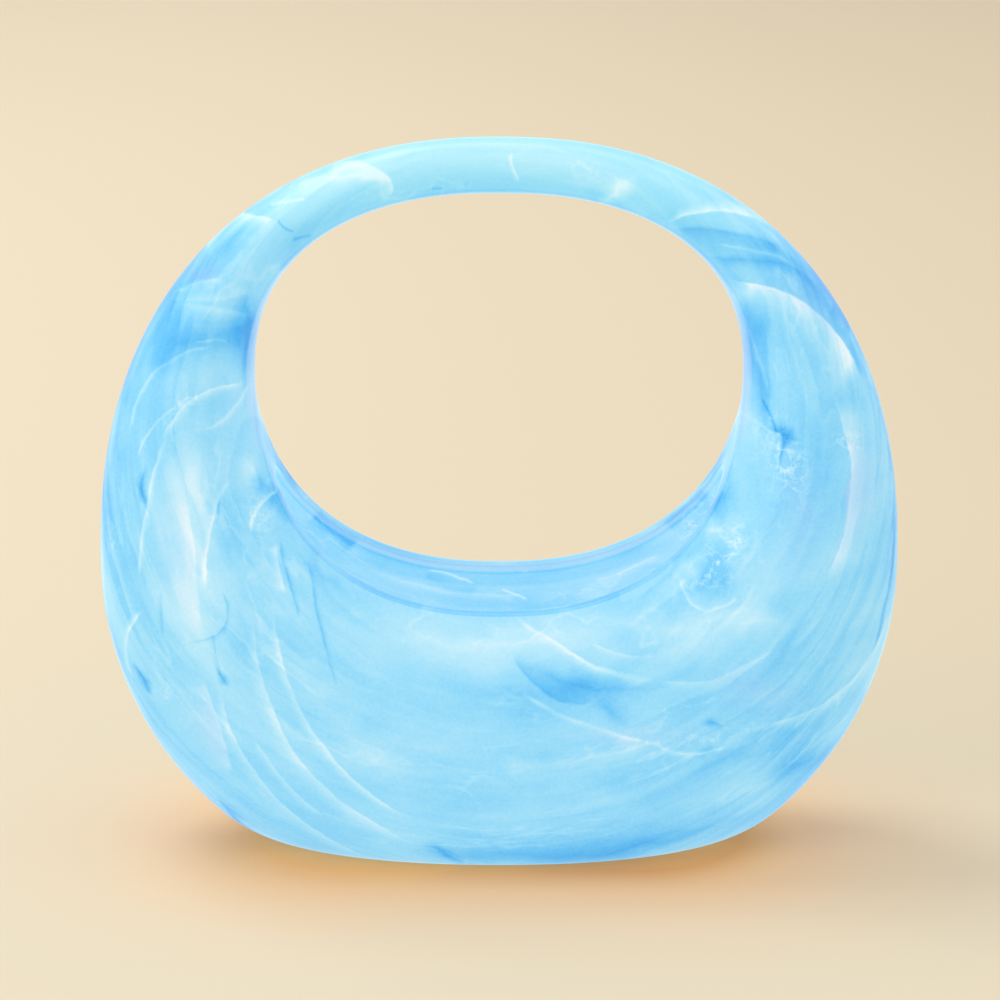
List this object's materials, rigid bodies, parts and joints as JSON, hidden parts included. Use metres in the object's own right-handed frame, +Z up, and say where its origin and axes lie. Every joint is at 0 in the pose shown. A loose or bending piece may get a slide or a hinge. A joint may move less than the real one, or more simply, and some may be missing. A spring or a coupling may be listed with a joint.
{
  "type": "acrylic crescent handbag",
  "caption": "Hollow crescent handbag in one rigid acrylic piece, with a ring handle, an open mouth under the handle and a flat base.",
  "frame": {"origin": "middle of the flat base, on the surface that the bag stands on", "axes": "+X along the bag's width, -Y towards its front, +Z up through the handle"},
  "size_m": [0.26, 0.094, 0.234],
  "materials": {
    "acrylic": "polished translucent pale blue with white and deep blue marbling"
  },
  "bodies": {
    "root": {"crescent_shell": "acrylic"}
  },
  "joints": []
}
